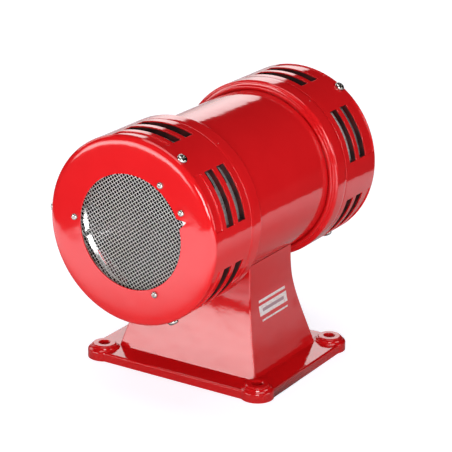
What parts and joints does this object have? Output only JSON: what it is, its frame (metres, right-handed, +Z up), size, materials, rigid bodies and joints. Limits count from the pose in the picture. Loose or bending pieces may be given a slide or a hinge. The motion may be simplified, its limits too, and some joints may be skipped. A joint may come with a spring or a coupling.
{
  "type": "motor siren",
  "caption": "Motor-driven alarm siren: slotted siren heads with mesh intakes at both ends of a round motor, on a flared cast pedestal with a bolt-down base.",
  "frame": {"origin": "centre of the base underside, on the mounting surface", "axes": "+X along the rotor axis, -Y the side with the rating label, +Z up"},
  "size_m": [0.2682, 0.179, 0.225],
  "materials": {
    "pedestal_paint": "high-gloss red enamel on cast metal",
    "housing_paint": "high-gloss red enamel",
    "label_print": "pale print on a clear film",
    "port_ring_dark": "dark enamel, satin",
    "screen_wire": "bright woven wire",
    "nickel_screw": "nickel plated, semi-bright",
    "zinc_steel": "zinc plated",
    "machined_steel": "ground steel",
    "lamination_steel": "stacked lamination edges, satin",
    "impeller_cast": "as-cast aluminium, matt",
    "copper_wire": "enamelled copper wire",
    "commutator_copper": "turned copper",
    "brass": "plain brass",
    "carbon": "pressed carbon, matt",
    "spring_steel": "spring steel wire",
    "black_plastic": "moulded black plastic"
  },
  "bodies": {
    "housing": {"pedestal_casting": "pedestal_paint", "motor_tube": "housing_paint", "end_bracket_left": "housing_paint", "end_bracket_right": "housing_paint", "head_cover_left": "housing_paint", "head_cover_right": "housing_paint", "rating_label": "label_print", "port_ring_left": "port_ring_dark", "port_ring_right": "port_ring_dark", "mesh_screen_left": "screen_wire", "mesh_screen_right": "screen_wire", "face_screw_left_1": "nickel_screw", "face_screw_left_2": "nickel_screw", "face_screw_left_3": "nickel_screw", "face_screw_left_4": "nickel_screw", "face_screw_right_1": "nickel_screw", "face_screw_right_2": "nickel_screw", "face_screw_right_3": "nickel_screw", "face_screw_right_4": "nickel_screw", "cover_screw_left_1": "nickel_screw", "cover_screw_left_2": "nickel_screw", "cover_screw_left_3": "nickel_screw", "cover_screw_right_1": "nickel_screw", "cover_screw_right_2": "nickel_screw", "cover_screw_right_3": "nickel_screw", "screen_retainer_left": "zinc_steel", "screen_retainer_right": "zinc_steel", "tie_bolt_upper": "zinc_steel", "tie_bolt_lower": "zinc_steel", "saddle_screw_left": "zinc_steel", "saddle_screw_right": "zinc_steel", "bearing_outer_race_left": "machined_steel", "bearing_outer_race_right": "machined_steel", "field_core": "lamination_steel", "field_coil_upper": "copper_wire", "field_coil_lower": "copper_wire", "brush_holder_front": "brass", "brush_holder_rear": "brass", "brush_spring_front": "spring_steel", "brush_spring_rear": "spring_steel", "cable_gland": "black_plastic", "gland_locknut": "black_plastic", "terminal_block": "black_plastic"},
    "rotor": {"shaft": "machined_steel", "armature_core": "lamination_steel", "armature_winding": "copper_wire", "commutator": "commutator_copper", "impeller_left": "impeller_cast", "impeller_right": "impeller_cast", "impeller_nut_left": "machined_steel", "impeller_nut_right": "machined_steel", "bearing_inner_race_left": "machined_steel", "bearing_inner_race_right": "machined_steel"},
    "ball_cage_left": {"bearing_cage_left": "brass"},
    "ball_cage_right": {"bearing_cage_right": "brass"},
    "brush_front": {"carbon_brush_front": "carbon"},
    "brush_rear": {"carbon_brush_rear": "carbon"}
  },
  "joints": [
    {"name": "rotor_spin", "type": "hinge", "parent": "housing", "child": "rotor", "pos_m": [0, 0, 0.1475], "axis": [1, 0, 0], "continuous": true},
    {"name": "cage_spin_left", "type": "hinge", "parent": "housing", "child": "ball_cage_left", "pos_m": [0, 0, 0.1475], "axis": [1, 0, 0], "continuous": true},
    {"name": "cage_spin_right", "type": "hinge", "parent": "housing", "child": "ball_cage_right", "pos_m": [0, 0, 0.1475], "axis": [1, 0, 0], "continuous": true},
    {"name": "brush_travel_front", "type": "slide", "parent": "housing", "child": "brush_front", "axis": [0, -1, 0], "range_m": [0, 0.004], "stiffness_N_per_m": 150, "springref_m": -0.006, "deforming": ["brush_spring_front"]},
    {"name": "brush_travel_rear", "type": "slide", "parent": "housing", "child": "brush_rear", "axis": [0, 1, 0], "range_m": [0, 0.004], "stiffness_N_per_m": 150, "springref_m": -0.006, "deforming": ["brush_spring_rear"]}
  ],
  "couplings": [
    {"joint": "cage_spin_left", "follows": "rotor_spin", "ratio": 0.4107},
    {"joint": "cage_spin_right", "follows": "rotor_spin", "ratio": 0.4107}
  ]
}
